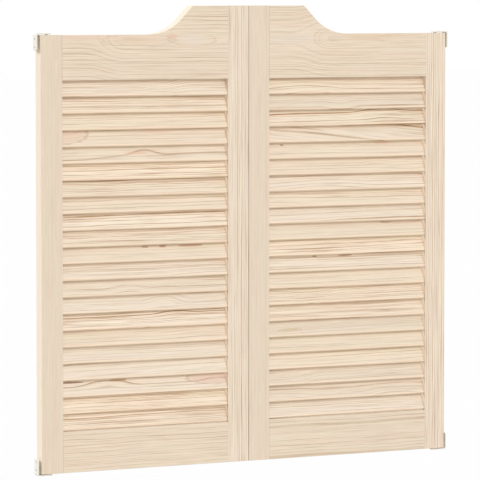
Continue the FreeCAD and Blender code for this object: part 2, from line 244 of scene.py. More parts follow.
@dataclass(frozen=True)
class Streaks:
    """A noise pattern in blotches that are longer along the grain than across it."""

    across_mm: float
    along_mm: float
    detail: float
    roughness: float
    seed: int = 0

    def draw(self, graph: ShaderGraph, board: Board, place: bpy.types.Node) -> bpy.types.Node:
        """Draw the pattern.

        Args:
            graph: The material being filled.
            board: The board, whose seed picks a stretch of the pattern.
            place: Position in the log, in millimetres.

        Returns:
            The noise node.
        """
        blotch = (1 / self.across_mm, 1 / self.across_mm, 1 / self.along_mm)
        start = SEED_STEP * (board.seed + self.seed)
        count = graph.add("VectorMath", {0: place, 1: blotch, 2: start}, operation="MULTIPLY_ADD")
        noise = {"Vector": count, "Scale": 1.0, "Detail": self.detail, "Roughness": self.roughness}
        return graph.add("TexNoise", noise)


@dataclass(frozen=True)
class SawnPine:
    """Bare pine, planed and sanded smooth, with no finish.

    The broad cream of the spring growth is crossed by thin tan lines of summer growth, which sit a
    little proud and shine a little more, and fine fibres give the face its soft streaky look.
    """

    wander: Streaks = Streaks(38.0, 230.0, detail=3.0, roughness=0.55)
    wander_mm: float = 7.0
    # Real fibres are some 0.05 mm wide; they are drawn 2.4 mm wide, so that they show.
    fibres: Streaks = Streaks(2.4, 60.0, detail=3.0, roughness=0.65, seed=7)
    fibre_shade: float = 0.3
    fibre_relief: float = 0.5
    fibre_gloss: float = 0.1
    # Short dark streaks that follow the grain between the rings.
    dark_streaks: Streaks = Streaks(2.8, 150.0, detail=2.0, roughness=0.6, seed=31)
    streak_noise: tuple[float, float] = (0.5, 0.75)
    streak_strength: float = 0.4
    # Years are good and bad in turn: over some 11 mm the rings gain or lose up to this many.
    uneven_years: float = 2.4
    uneven_mm: float = 11.0
    uneven_seed_step: float = 3.7
    # Strength of the summer line over a year's growth, which ends in the dark.
    line_shades: tuple[tuple[float, float], ...] = (
        (0.0, 0.6), (0.04, 0.0), (0.6, 0.04), (0.8, 0.2), (0.9, 1.0), (1.0, 1.0),
    )
    # Summer growth starts past this share of the year, and a board's cut may narrow it.
    summer_start: float = 0.5
    faintest_year: float = 0.3
    # Lines are weaker in some places of a board and stronger in others.
    patchy_noise: tuple[float, float] = (0.35, 0.65)
    patchy_strength: tuple[float, float] = (0.55, 1.25)
    # Where the saw met a ring at a glancing angle, its line is broad and faint.
    glancing_strength: float = 0.3
    square_cut: float = 0.8
    # Boards with strong summer lines have paler spring growth between them.
    spring_gain: float = 0.1
    # Patches in which the spring growth goes from its warm to its cream and its straw shade.
    patches: Streaks = Streaks(17.0, 160.0, detail=3.0, roughness=0.55, seed=19)
    tone_noise: tuple[float, float, float] = (0.36, 0.5, 0.64)
    mark_depth_mm: float = 45.0
    ragged_edge: float = 0.6
    rim_share: float = 0.1
    late_colour: str = "#a58058"
    line_gloss: float = -0.14
    # End grain drinks in light; it begins where the surface turns this squarely to the grain.
    end_grain_colour: str = "#d9b88f"
    end_grain_strength: float = 0.4
    end_grain_facing: float = 0.6
    # Sanding pales a board's edges, and the paler edge faces and arrises are also painted light: a painted
    # highlight on the arrises, and painted light that lifts the shade in the slit between the leaves. Edges
    # begin and end where the surface turns away from the face.
    rubbed_and_highlight_colour: str = "#f2e6d6"
    arris_wear_and_highlight: float = 0.6
    edge_sanding_and_painted_light: float = 0.5
    edge_facing: tuple[float, float] = (0.1, 0.6)
    # Painted highlight: how strongly it pales the face towards the board's long edges, where the rounded lips
    # catch the light, and from where to where.
    lip_painted_highlight: float = 0.0
    lip_highlight_from_middle_mm: tuple[float, float] = (15.0, 22.5)
    arris_radius_mm: float = 0.9
    line_height_mm: float = 0.06
    ior: float = 1.5
    roughness: float = 0.62

    def make(self, board: Board) -> bpy.types.Material:
        """Make the material of one board.

        Args:
            board: The board, whose cut and seed set the figure.

        Returns:
            The material.
        """
        graph = ShaderGraph(bpy.data.materials.new("sawn_pine_" + board.node))
        place = graph.add(
            "Mapping",
            {
                "Vector": graph.add("TexCoord").outputs["Object"],
                "Scale": (MM_PER_M, MM_PER_M, MM_PER_M),
                "Rotation": board.log_axes().to_euler(),
                "Location": board.pith_offset(),
            },
        )
        drift = graph.add("SeparateColor", {0: self.patches.draw(graph, board, place).outputs["Color"]})
        fibre = graph.add("Math", {0: self.fibres.draw(graph, board, place), 1: 0.5}, operation="SUBTRACT")
        reaches = [self.mark_reach(graph, board, mark, place) for mark in board.figure.marks]
        rings = self.ring_place(graph, board, place, reaches)
        line = self.summer_lines(graph, board, rings, self.ring_radius(graph, board, rings, reaches), drift)
        line = self.streaks(graph, board, place, line)
        arris = graph.add("Bevel", {"Radius": self.arris_radius_mm / MM_PER_M}, samples=4)
        colour = self.face_colour(graph, board, drift, line, fibre)
        for mark, reach in zip(board.figure.marks, reaches):
            colour = self.stain(graph, mark, reach, fibre, colour)
        colour = self.cut_colour(graph, board, arris, colour)
        height = graph.add("Math", {0: fibre, 1: self.fibre_relief, 2: line}, operation="MULTIPLY_ADD")
        relief = graph.add(
            "Bump", {"Height": height, "Distance": self.line_height_mm / MM_PER_M, "Normal": arris}
        )
        gloss = graph.add("Math", {0: line, 1: self.line_gloss, 2: self.roughness}, operation="MULTIPLY_ADD")
        gloss = graph.add("Math", {0: fibre, 1: self.fibre_gloss, 2: gloss}, operation="MULTIPLY_ADD")
        surface = graph.add(
            "BsdfPrincipled",
            {"Base Color": colour, "Roughness": gloss, "IOR": self.ior, "Normal": relief},
        )
        graph.add("OutputMaterial", {"Surface": surface})
        return graph.owner

    def mark_reach(
        self, graph: ShaderGraph, board: Board, mark: Mark, place: bpy.types.Node
    ) -> bpy.types.NodeSocket:
        """Distance from a mark's middle, 1 at its rim.

        Args:
            graph: The material being filled.
            board: The board.
            mark: The mark.
            place: Position in the log, in millimetres.

        Returns:
            A socket with the distance.
        """
        from_mark = graph.add("VectorMath", {0: place, 1: board.mark_centre(mark)}, operation="SUBTRACT")
        size = (2 / mark.width_mm, 1 / self.mark_depth_mm, 2 / mark.length_mm)
        oval = graph.add("VectorMath", {0: from_mark, 1: size}, operation="MULTIPLY")
        return graph.add("VectorMath", {0: oval}, operation="LENGTH").outputs["Value"]

    def ring_place(
        self, graph: ShaderGraph, board: Board, place: bpy.types.Node, reaches: list[bpy.types.NodeSocket]
    ) -> bpy.types.Node:
        """Place across the log from its pith, with a slow wander, which makes grain lines wave.

        Args:
            graph: The material being filled.
            board: The board.
            place: Position in the log, in millimetres.
            reaches: Distance from each mark.

        Returns:
            A node with the place in millimetres.
        """
        sway = self.wander.draw(graph, board, place).outputs["Color"]
        swing = Vector((self.wander_mm, self.wander_mm, 0.0))
        wander = graph.add("VectorMath", {0: sway, 1: swing, 2: swing / -2}, operation="MULTIPLY_ADD")
        rings = graph.add("VectorMath", {0: place, 1: (1, 1, 0), 2: wander}, operation="MULTIPLY_ADD")
        for mark, reach in zip(board.figure.marks, reaches):
            if mark.shift_mm:
                carried = self.fall_off(graph, reach, mark.spread, -mark.shift_mm)
                moved = {0: carried, 1: (1, 0, 0), 2: rings}
                rings = graph.add("VectorMath", moved, operation="MULTIPLY_ADD")
        return rings

    def ring_radius(
        self, graph: ShaderGraph, board: Board, rings: bpy.types.Node, reaches: list[bpy.types.NodeSocket]
    ) -> bpy.types.NodeSocket:
        """Distance from the pith, less what the marks push the rings out by.

        Args:
            graph: The material being filled.
            board: The board.
            rings: Place across the log from its pith.
            reaches: Distance from each mark.

        Returns:
            A socket with the ring's radius in millimetres.
        """
        radius = graph.add("VectorMath", {0: rings}, operation="LENGTH").outputs["Value"]
        for mark, reach in zip(board.figure.marks, reaches):
            if mark.push_mm:
                pushed = self.fall_off(graph, reach, mark.spread, -mark.push_mm)
                radius = graph.add("Math", {0: radius, 1: pushed}, operation="ADD").outputs[0]
        return radius

    def fall_off(
        self, graph: ShaderGraph, reach: bpy.types.NodeSocket, spread: float, amount: float
    ) -> bpy.types.Node:
        """Fade an amount to nothing over the outer share of a mark's reach."""
        fade = {"Value": reach, "From Min": 1.0 - spread, "To Min": amount, "To Max": 0.0}
        return graph.add("MapRange", fade, interpolation_type="SMOOTHERSTEP")

    def summer_lines(
        self, graph: ShaderGraph, board: Board, rings: bpy.types.Node, radius: bpy.types.NodeSocket,
        drift: bpy.types.Node,
    ) -> bpy.types.Node:
        """The thin dark line at the end of each year's ring.

        Args:
            graph: The material being filled.
            board: The board, whose contrast scales the lines.
            rings: Place across the log from its pith.
            radius: Radius of the ring in millimetres.
            drift: Slow noise, which strengthens the lines in places.

        Returns:
            How strong the line is, 0 to about 1.
        """
        start = board.seed * self.uneven_seed_step
        run = graph.add("Math", {0: radius, 1: 1 / self.uneven_mm, 2: start}, operation="MULTIPLY_ADD")
        uneven = graph.add("TexNoise", {"W": run, "Scale": 1.0, "Detail": 1.0}, noise_dimensions="1D")
        even = graph.add("Math", {0: radius, 1: board.figure.cut.ring_mm}, operation="DIVIDE")
        swell = self.uneven_years * board.figure.cut.unevenness
        years = graph.add("Math", {0: uneven, 1: swell, 2: even}, operation="MULTIPLY_ADD")
        line = graph.add(
            "ValToRGB",
            {"Fac": graph.add("Math", {0: years}, operation="FRACT")},
            stops=[
                (self.time_of_year(board, position), (shade, shade, shade, 1.0))
                for position, shade in self.line_shades
            ],
        )
        year = graph.add("Math", {0: years}, operation="FLOOR")
        chance = graph.add("TexWhiteNoise", {"W": year}, noise_dimensions="1D").outputs["Value"]
        contrast = board.figure.contrast
        strength = graph.add(
            "MapRange", {"Value": chance, "To Min": self.faintest_year * contrast, "To Max": contrast}
        )
        low, high = self.patchy_noise
        weakest, strongest = self.patchy_strength
        patchy = graph.add(
            "MapRange",
            {
                "Value": drift.outputs["Green"],
                "From Min": low, "From Max": high, "To Min": weakest, "To Max": strongest,
            },
        )
        slant = graph.add("SeparateXYZ", {0: graph.add("VectorMath", {0: rings}, operation="NORMALIZE")})
        clear = graph.add(
            "MapRange",
            {
                "Value": graph.add("Math", {0: slant.outputs["X"]}, operation="ABSOLUTE"),
                "From Max": self.square_cut, "To Min": self.glancing_strength,
            },
        )
        for factor in (strength, patchy, clear):
            line = graph.add("Math", {0: line, 1: factor}, operation="MULTIPLY")
        return line

    def time_of_year(self, board: Board, share: float) -> float:
        """When a shade comes in a year's growth, with the summer as long as the board's cut has it."""
        return share if share <= self.summer_start else 1.0 - (1.0 - share) * board.figure.cut.summer

    def streaks(
        self, graph: ShaderGraph, board: Board, place: bpy.types.Node, line: bpy.types.Node
    ) -> bpy.types.Node:
        """Add short dark streaks to the summer lines.

        Args:
            graph: The material being filled.
            board: The board.
            place: Position in the log, in millimetres.
            line: Strength of the summer line.

        Returns:
            Strength of the lines and streaks together.
        """
        noise = self.dark_streaks.draw(graph, board, place)
        low, high = self.streak_noise
        strongest = self.streak_strength * board.figure.contrast
        dark = graph.add("MapRange", {"Value": noise, "From Min": low, "From Max": high, "To Max": strongest})
        return graph.add("Math", {0: line, 1: dark}, operation="ADD")

    def face_colour(
        self, graph: ShaderGraph, board: Board, drift: bpy.types.Node, line: bpy.types.Node,
        fibre: bpy.types.Node,
    ) -> bpy.types.NodeSocket:
        """Colour of the planed face.

        Args:
            graph: The material being filled.
            board: The board.
            drift: Slow noise, which moves the spring growth between its three colours.
            line: Strength of the summer line.
            fibre: The fibre streaks.

        Returns:
            A socket with the colour.
        """
        shades = [(level, linear(colour)) for level, colour in zip(self.tone_noise, board.tone)]
        early = graph.add("ValToRGB", {"Fac": drift.outputs["Red"]}, stops=shades)
        lined = graph.add("Mix", {"Factor": line, 6: early, 7: linear(self.late_colour)}, data_type="RGBA")
        pale = 1.0 + self.spring_gain * board.figure.contrast
        shade = graph.add("Math", {0: fibre, 1: self.fibre_shade, 2: pale}, operation="MULTIPLY_ADD")
        return graph.add("VectorMath", {0: lined.outputs[2], "Scale": shade}, operation="SCALE").outputs[0]

    def stain(
        self, graph: ShaderGraph, mark: Mark, reach: bpy.types.NodeSocket, fibre: bpy.types.Node,
        colour: bpy.types.NodeSocket,
    ) -> bpy.types.NodeSocket:
        """Stain the wood inside a mark, with an edge that the fibres make ragged.

        Args:
            graph: The material being filled.
            mark: The mark; one without a colour stains nothing.
            reach: Distance from it, 1 at its rim.
            fibre: The fibre streaks.
            colour: Colour of the wood before.

        Returns:
            A socket with the colour after.
        """
        if not mark.colour:
            return colour
        ragged = graph.add("Math", {0: fibre, 1: self.ragged_edge, 2: reach}, operation="MULTIPLY_ADD")
        inside = graph.add(
            "MapRange",
            {"Value": ragged, "From Min": 1.0 - mark.softness, "To Min": mark.strength, "To Max": 0.0},
            interpolation_type="SMOOTHSTEP",
        )
        stained = graph.add("Mix", {"Factor": inside, 6: colour, 7: linear(mark.colour)}, data_type="RGBA")
        if not mark.rim:
            return stained.outputs[2]
        gap = graph.add("Math", {0: ragged, 1: 1.0}, operation="SUBTRACT")
        near = {"Value": graph.add("Math", {0: gap}, operation="ABSOLUTE"), "To Min": mark.rim, "To Max": 0.0}
        rim = graph.add("MapRange", {**near, "From Max": self.rim_share}, interpolation_type="SMOOTHSTEP")
        rimmed = graph.add(
            "Mix", {"Factor": rim, 6: stained.outputs[2], 7: linear(self.late_colour)}, data_type="RGBA"
        )
        return rimmed.outputs[2]

    def cut_colour(
        self, graph: ShaderGraph, board: Board, arris: bpy.types.Node, colour: bpy.types.NodeSocket
    ) -> bpy.types.NodeSocket:
        """Darken the end grain, where the saw crossed the fibres, and pale the edges, arrises and slat lips,
        partly for sanding and partly as painted light and painted highlight.

        Args:
            graph: The material being filled.
            board: The board.
            arris: The rounded normal.
            colour: Colour of the face.

        Returns:
            A socket with the colour.
        """
        normal = graph.add("TexCoord").outputs["Normal"]
        end = graph.add(
            "MapRange",
            {
                "Value": self.size_along(graph, normal, board.board_axes()[2]),
                "From Min": self.end_grain_facing, "To Max": self.end_grain_strength,
            },
        )
        ended = graph.add(
            "Mix", {"Factor": end, 6: colour, 7: linear(self.end_grain_colour)},
            data_type="RGBA", blend_type="MULTIPLY",
        )
        # Edge faces are painted pale, partly for sanding and partly as painted light in the slit between the
        # leaves; the slats' lips get a painted highlight.
        begins, ends = self.edge_facing
        edge = graph.add(
            "MapRange",
            {
                "Value": self.size_along(graph, normal, board.board_axes()[0]),
                "From Min": begins, "From Max": ends,
                "To Min": self.painted_lip_highlight(graph, board) if self.lip_painted_highlight else 0.0, "To Max": self.edge_sanding_and_painted_light,
            },
        )
        # Arrises are painted pale, partly for rubbing and partly as a painted highlight.
        rubbed = edge_wear_and_highlight(graph, arris, self.arris_wear_and_highlight)
        paler = graph.add("Math", {0: edge, 1: rubbed}, operation="MAXIMUM")
        worn = graph.add(
            "Mix", {"Factor": paler, 6: ended.outputs[2], 7: linear(self.rubbed_and_highlight_colour)}, data_type="RGBA"
        )
        return worn.outputs[2]

    def painted_lip_highlight(self, graph: ShaderGraph, board: Board) -> bpy.types.Node:
        """How strongly the face is painted pale as a highlight, which grows towards the board's long edges.

        Args:
            graph: The material being filled.
            board: The board.

        Returns:
            A node with the strength.
        """
        place = graph.add("TexCoord").outputs["Object"]
        from_middle = graph.add("VectorMath", {0: place, 1: board.centre}, operation="SUBTRACT").outputs[0]
        across_mm = self.size_along(graph, from_middle, board.board_axes()[0] * MM_PER_M)
        start, end = self.lip_highlight_from_middle_mm
        return graph.add(
            "MapRange", {"Value": across_mm, "From Min": start, "From Max": end, "To Max": self.lip_painted_highlight}
        )

    def size_along(self, graph: ShaderGraph, arrow: bpy.types.NodeSocket, axis: Vector) -> bpy.types.Node:
        """Size of an arrow's part along an axis: for a normal, how squarely it faces that way or back."""
        part = graph.add("VectorMath", {0: arrow, 1: axis}, operation="DOT_PRODUCT").outputs["Value"]
        return graph.add("Math", {0: part}, operation="ABSOLUTE")


@dataclass(frozen=True)
class PowderCoat:
    """Ivory powder coat, baked on folded steel: an even satin skin with a faint orange-peel ripple."""

    colour: str = "#e9e6dc"
    worn_colour: str = "#d5d0c5"
    edge_wear: float = 0.8
    edge_radius_mm: float = 0.6
    ior: float = 1.5
    roughness: float = 0.42
    gloss_change: float = 0.12
    ripple_mm: float = 1.6
    ripple_depth_mm: float = 0.04

    def make(self) -> bpy.types.Material:
        """Make the coat, rubbed thin along its edges.

        Returns:
            The material.
        """
        graph = ShaderGraph(bpy.data.materials.new("powder_coated_steel"))
        place = graph.add("TexCoord").outputs["Object"]
        ripple = graph.add("TexNoise", {"Vector": place, "Scale": MM_PER_M / self.ripple_mm, "Detail": 2.0})
        rounded = graph.add("Bevel", {"Radius": self.edge_radius_mm / MM_PER_M}, samples=4)
        wear = edge_wear_and_highlight(graph, rounded, self.edge_wear)
        colour = graph.add(
            "Mix", {"Factor": wear, 6: linear(self.colour), 7: linear(self.worn_colour)}, data_type="RGBA"
        )
        smoothest = self.roughness - self.gloss_change / 2
        gloss = graph.add(
            "Math", {0: ripple.outputs[0], 1: self.gloss_change, 2: smoothest}, operation="MULTIPLY_ADD"
        )
        bump = graph.add(
            "Bump",
            {"Height": ripple.outputs[0], "Distance": self.ripple_depth_mm / MM_PER_M, "Normal": rounded},
        )
        surface = graph.add(
            "BsdfPrincipled",
            {"Base Color": colour.outputs[2], "Roughness": gloss, "IOR": self.ior, "Normal": bump},
        )
        graph.add("OutputMaterial", {"Surface": surface})
        return graph.owner


@dataclass(frozen=True)
class TurnedMetal:
    """Bar metal turned on a lathe: bright, with fine tool rings round its axis and a few dull patches."""

    name: str
    colour: str
    dull_colour: str
    roughness: float
    # Real tool marks are some 0.1 mm apart; they are drawn pi mm apart, so that they show.
    tool_mark_mm: float = math.pi
    tool_mark_depth_mm: float = 0.01
    tool_mark_strength: float = 0.5
    # The wave pattern counts this many radians in a unit.
    wave_radians: float = 20.0
    dull_patch_mm: float = 9.0
    gloss_change: float = 0.2

    def make(self) -> bpy.types.Material:
        """Make the metal.

        Returns:
            The material.
        """
        graph = ShaderGraph(bpy.data.materials.new(self.name))
        place = graph.add("TexCoord").outputs["Object"]
        pitch = MM_PER_M / self.tool_mark_mm * 2.0 * math.pi / self.wave_radians
        marks = graph.add(
            "TexWave", {"Vector": place, "Scale": pitch, "Distortion": 0.6, "Detail": 1.0},
            wave_type="BANDS", bands_direction="Z",
        )
        patches = graph.add(
            "TexNoise", {"Vector": place, "Scale": MM_PER_M / self.dull_patch_mm, "Detail": 4.0}
        )
        colour = graph.add(
            "Mix",
            {"Factor": patches.outputs[0], 6: linear(self.colour), 7: linear(self.dull_colour)},
            data_type="RGBA",
        )
        smoothest = self.roughness - self.gloss_change / 2
        gloss = graph.add(
            "Math", {0: patches.outputs[0], 1: self.gloss_change, 2: smoothest}, operation="MULTIPLY_ADD"
        )
        bump = graph.add(
            "Bump",
            {"Height": marks.outputs[0], "Distance": self.tool_mark_depth_mm / MM_PER_M,
             "Strength": self.tool_mark_strength},
        )
        surface = graph.add(
            "BsdfPrincipled",
            {"Base Color": colour.outputs[2], "Metallic": 1.0, "Roughness": gloss, "Normal": bump},
        )
        graph.add("OutputMaterial", {"Surface": surface})
        return graph.owner


@dataclass(frozen=True)
class MouldedNylon:
    """Natural nylon, injection moulded: milky, slightly clouded and softly shiny."""

    colour: str = "#dfdbcf"
    cloud_colour: str = "#d2ccbc"
    cloud_mm: float = 4.0
    cloud_depth_mm: float = 0.03
    ior: float = 1.53
    roughness: float = 0.4
    gloss_change: float = 0.1
    # Light sinks in a little way and comes out again, which gives the milky look.
    milkiness: float = 0.2
    milky_depth_mm: float = 1.0

    def make(self) -> bpy.types.Material:
        """Make the nylon.

        Returns:
            The material.
        """
        graph = ShaderGraph(bpy.data.materials.new("moulded_nylon"))
        place = graph.add("TexCoord").outputs["Object"]
        clouds = graph.add("TexNoise", {"Vector": place, "Scale": MM_PER_M / self.cloud_mm, "Detail": 3.0})
        colour = graph.add(
            "Mix",
            {"Factor": clouds.outputs[0], 6: linear(self.colour), 7: linear(self.cloud_colour)},
            data_type="RGBA",
        )
        gloss = graph.add(
            "Math", {0: clouds.outputs[0], 1: self.gloss_change, 2: self.roughness}, operation="MULTIPLY_ADD"
        )
        bump = graph.add("Bump", {"Height": clouds.outputs[0], "Distance": self.cloud_depth_mm / MM_PER_M})
        surface = graph.add(
            "BsdfPrincipled",
            {"Base Color": colour.outputs[2], "Roughness": gloss, "IOR": self.ior, "Normal": bump,
             "Subsurface Weight": self.milkiness, "Subsurface Scale": self.milky_depth_mm / MM_PER_M},
        )
        graph.add("OutputMaterial", {"Surface": surface})
        return graph.owner


def dress(node: str, material: bpy.types.Material) -> None:
    """Give every face of a node one material.

    Args:
        node: Name of the node.
        material: Its new material.
    """
    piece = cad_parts[node]
    for surface in piece.material_slots:
        surface.material = material
    log.info("%s: %s", node, material.name)


def middle(node: str) -> Vector:
    """Middle of a node's box, in metres."""
    low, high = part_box(node)
    return (Vector(low) + Vector(high)) / 2


# Spring growth of one log each: a warm, a cream and a straw shade.
FRAME_TONE = ("#e8d5c0", "#e8d7c2", "#e7d8c1")
LINED_STILE_TONE = ("#e8d8c6", "#e8d9c6", "#e7dac5")
SLAT_TONES = (
    ("#ead9c4", "#eadac5", "#e8dbc3"),
    ("#eadbc9", "#eadcca", "#e9ddc9"),
    ("#e5d5c1", "#e5d6c3", "#e3d7c1"),
)

LEFT_FIGURES = {
    "hinge_stile": Figure(Cut(-140.0, 8.0, 5.0), 0.15),
    "meeting_stile": Figure(Cut(-150.0, 20.0, 5.0, unevenness=0.5, summer=0.75), 1.06),
    "top_rail": Figure(
        Cut(8.0, 26.0, 4.8), 0.66,
        (
            Mark(212.0, 8.0, 350.0, 1200.0, push_mm=-14.0, spread=0.6),
            Mark(20.0, 6.0, 196.0, 28.0, colour="#e6c9ae", strength=0.4, softness=0.6, rim=0.2),
            Mark(-124.0, 7.0, 170.0, 62.0, push_mm=8.5),
            Mark(-124.0, 7.0, 88.0, 30.0, colour="#e9ded1", strength=0.55, softness=0.6),
            Mark(-66.0, 15.0, 38.0, 20.0, colour="#e7baa3", strength=0.4, softness=0.5),
            Mark(140.0, 14.0, 260.0, 22.0, colour="#e9ccba", strength=0.4, softness=0.5),
        ),
    ),
    "bottom_rail": Figure(Cut(60.0, 45.0, 4.5), 0.7),
    "slat_18": Figure(
        Cut(60.0, 40.0, 7.0), 0.7,
        (
            Mark(208.0, 10.0, 130.0, 52.0, push_mm=9.0, colour="#e6c6b2", strength=0.45, rim=0.4),
            Mark(-40.0, 12.0, 120.0, 12.0, colour="#e5bdaa", strength=0.4, softness=0.5),
        ),
    ),
    "slat_17": Figure(
        Cut(-91.0, 0.0, 44.0, unevenness=0.0, summer=0.4), 1.2,
        (
            Mark(212.0, 0.0, 460.0, 400.0, shift_mm=-11.0),
            Mark(2.0, 0.0, 120.0, 400.0, shift_mm=10.0),
            Mark(22.0, 0.0, 80.0, 9.0, colour="#e6b797", strength=0.5, softness=0.6),
        ),
    ),
    "slat_11": Figure(
        Cut(-60.0, 50.0, 6.0), 0.5,
        (
            Mark(-4.0, 12.5, 20.0, 7.0, push_mm=3.0, colour="#a4825d", strength=0.6),
            Mark(-49.0, 12.5, 20.0, 7.5, push_mm=3.0, colour="#ad7257", strength=0.65),
            Mark(-122.0, 12.5, 72.0, 6.5, push_mm=3.0, colour="#bf8563", strength=0.65),
        ),
    ),
    "slat_03": Figure(
        Cut(-80.0, 35.0, 7.0), 0.8,
        (
            Mark(184.0, 11.5, 70.0, 4.5, colour="#8a5c3e", strength=0.75),
            Mark(95.0, 15.0, 260.0, 60.0, push_mm=12.0),
            Mark(68.0, 12.0, 50.0, 7.0, colour="#b1854f", strength=0.65),
            Mark(-190.0, 8.0, 160.0, 34.0, push_mm=5.0, colour="#e5c2b0", strength=0.5, rim=0.45),
        ),
    ),
}

RIGHT_FIGURES = {
    "hinge_stile": Figure(Cut(160.0, 10.0, 5.2, unevenness=0.5, summer=0.75), 1.3),
    "meeting_stile": Figure(Cut(140.0, -10.0, 5.0), 0.15),
    "top_rail": Figure(
        Cut(8.0, 26.0, 5.2), 0.7,
        (
            Mark(212.0, 8.0, 362.0, 1200.0, push_mm=-14.0, spread=0.6),
            Mark(-60.0, 10.0, 200.0, 24.0, colour="#e6cbb0", strength=0.5, softness=0.5),
            Mark(150.0, 6.0, 150.0, 34.0, colour="#e9ddd1", strength=0.4, softness=0.5),
        ),
    ),
    "bottom_rail": Figure(Cut(-70.0, 50.0, 5.0), 0.6),
    "slat_18": Figure(
        Cut(-99.0, 0.0, 44.0, lean_across=-0.115, unevenness=0.0, summer=0.4), 1.2,
        (Mark(130.0, 13.5, 190.0, 7.0, colour="#b3916b", strength=0.5, softness=0.6),),
    ),
    "slat_17": Figure(
        Cut(-60.0, 55.0, 6.0), 0.6,
        (
            Mark(172.0, 11.0, 11.0, 6.0, push_mm=3.0, colour="#a3856c", strength=0.6),
            Mark(-100.0, 12.0, 64.0, 7.0, colour="#dbaa89", strength=0.5, softness=0.5),
        ),
    ),
    "slat_15": Figure(Cut(-80.0, 30.0, 7.0), 1.0, (Mark(60.0, -10.0, 380.0, 60.0, push_mm=8.0),)),
    "slat_12": Figure(
        Cut(-60.0, 60.0, 6.0), 0.4,
        (
            Mark(-112.0, 12.5, 40.0, 4.0, colour="#aa805f", strength=0.6, softness=0.5),
            Mark(-155.0, 15.0, 100.0, 13.0, colour="#e5c3a8", strength=0.4, rim=0.5),
        ),
    ),
    "slat_10": Figure(
        Cut(-70.0, 30.0, 6.5), 0.9,
        (
            Mark(83.0, 13.5, 15.0, 5.0, push_mm=2.0, colour="#978268", strength=0.6),
            Mark(0.0, 13.5, 44.0, 5.0, push_mm=2.0, colour="#aa765b", strength=0.65),
        ),
    ),
    "slat_06": Figure(
        Cut(-75.0, 40.0, 5.5, lean_across=0.02), 0.6,
        (
            Mark(
                152.0, -7.0, 60.0, 10.0,
                push_mm=2.0, colour="#d1ba90", strength=0.55, softness=0.4, rim=0.3,
            ),
        ),
    ),
    "slat_05": Figure(Cut(-75.0, 45.0, 5.5), 0.5),
    "slat_03": Figure(
        Cut(-70.0, 30.0, 7.0), 0.8, (Mark(212.0, 0.0, 320.0, 400.0, shift_mm=-12.0, spread=0.6),)
    ),
}


@dataclass(frozen=True)
class Sawmill:
    """Saws the slats that have no figure of their own from chance places in a log.

    Each pair of numbers is the least and the most that a size may be.
    """

    ring_mm: tuple[float, float] = (4.5, 7.0)
    rift_across_mm: tuple[float, float] = (45.0, 80.0)
    rift_depth_mm: tuple[float, float] = (40.0, 80.0)
    quarter_across_mm: tuple[float, float] = (90.0, 160.0)
    quarter_depth_mm: tuple[float, float] = (-12.0, 12.0)
    lean_degrees: tuple[float, float] = (-0.5, 0.5)
    # Close straight lines come from a quarter-sawn board, so one with strong lines is always that.
    quarter_contrast: float = 1.2
    most_branches: int = 2
    branch_along_mm: tuple[float, float] = (-200.0, 200.0)
    branch_across_mm: tuple[float, float] = (-25.0, 25.0)
    branch_length_mm: tuple[float, float] = (120.0, 340.0)
    branch_width_mm: tuple[float, float] = (50.0, 100.0)
    branch_push_mm: tuple[float, float] = (-9.0, 9.0)

    def saw(self, picker: random.Random, contrast: float) -> Figure:
        """Saw one slat, near branches or none.

        Args:
            picker: Source of chance.
            contrast: Strength of its summer lines.

        Returns:
            Its figure.
        """
        sawing = Sawing.QUARTER
        if contrast <= self.quarter_contrast:
            sawing = picker.choice((Sawing.RIFT, Sawing.RIFT, Sawing.QUARTER))
        side = picker.choice((-1.0, 1.0))
        ring_mm = picker.uniform(*self.ring_mm)
        lean = math.radians(picker.uniform(*self.lean_degrees))
        marks = tuple(
            Mark(
                picker.uniform(*self.branch_along_mm), picker.uniform(*self.branch_across_mm),
                picker.uniform(*self.branch_length_mm), picker.uniform(*self.branch_width_mm),
                picker.uniform(*self.branch_push_mm),
            )
            for _ in range(picker.randrange(self.most_branches + 1))
        )
        if sawing is Sawing.RIFT:
            across, depth = self.rift_across_mm, self.rift_depth_mm
        else:
            across, depth = self.quarter_across_mm, self.quarter_depth_mm
        cut = Cut(side * picker.uniform(*across), picker.uniform(*depth), ring_mm, lean, lean)
        return Figure(cut, contrast, marks)


